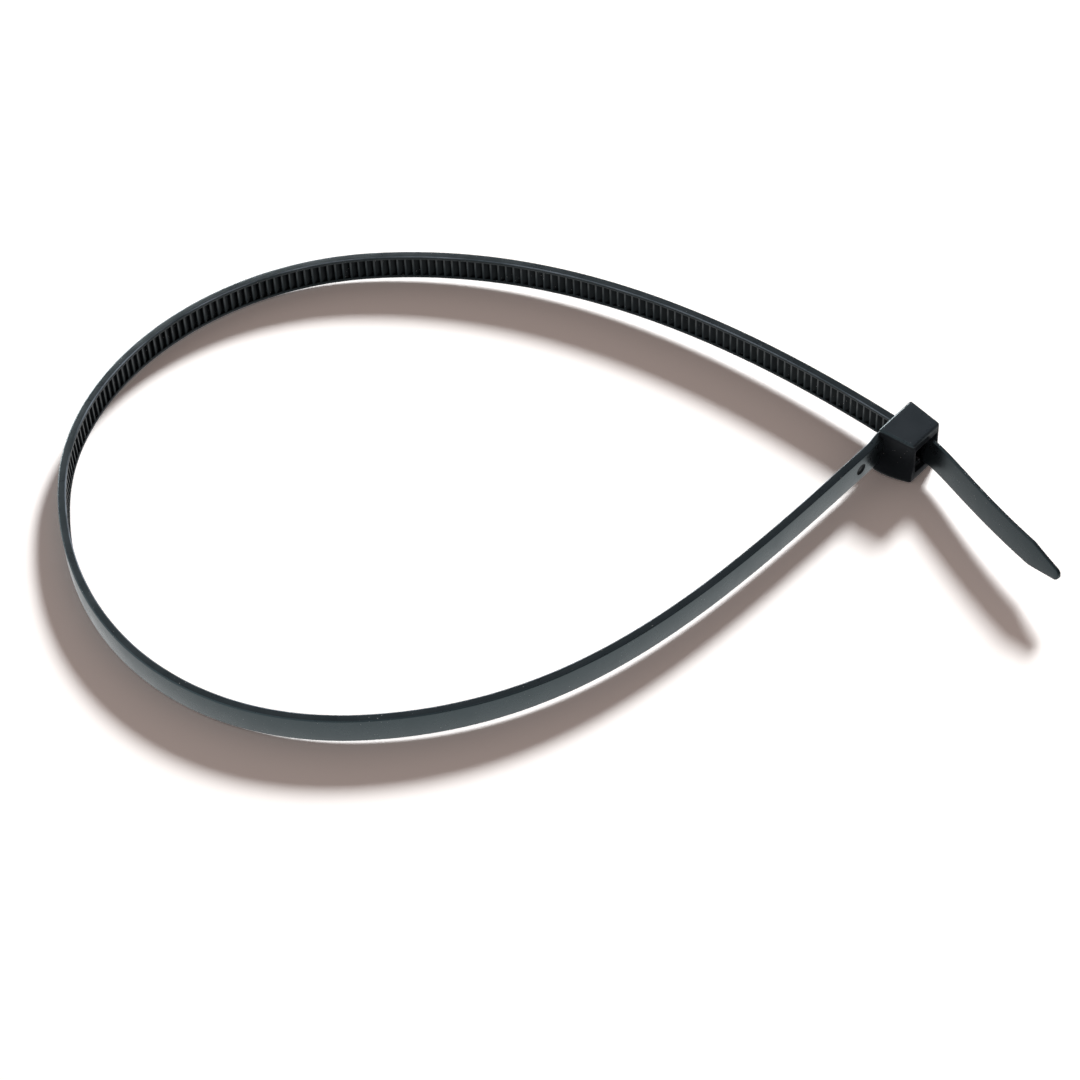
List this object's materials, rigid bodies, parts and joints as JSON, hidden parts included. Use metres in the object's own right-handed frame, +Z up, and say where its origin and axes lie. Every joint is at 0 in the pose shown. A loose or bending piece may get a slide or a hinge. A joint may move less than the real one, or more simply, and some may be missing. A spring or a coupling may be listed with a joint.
{
  "type": "cable tie",
  "caption": "Black one-piece cable tie closed into a loose teardrop loop, with a toothed strap, a box-shaped locking head and a tapered free tail.",
  "frame": {"origin": "Middle of the bounding box in the plane of the loop, at the height of the surface it lies on.", "axes": "+X runs from the far end of the loop towards the head and tail, +Z is up with the strap standing on its edge, and the toothed strap enters the head from the +Y half of the loop."},
  "size_m": [0.1499, 0.0932, 0.0085],
  "materials": {
    "nylon": "satin"
  },
  "bodies": {
    "root": {"cable_tie": "nylon"}
  },
  "joints": []
}
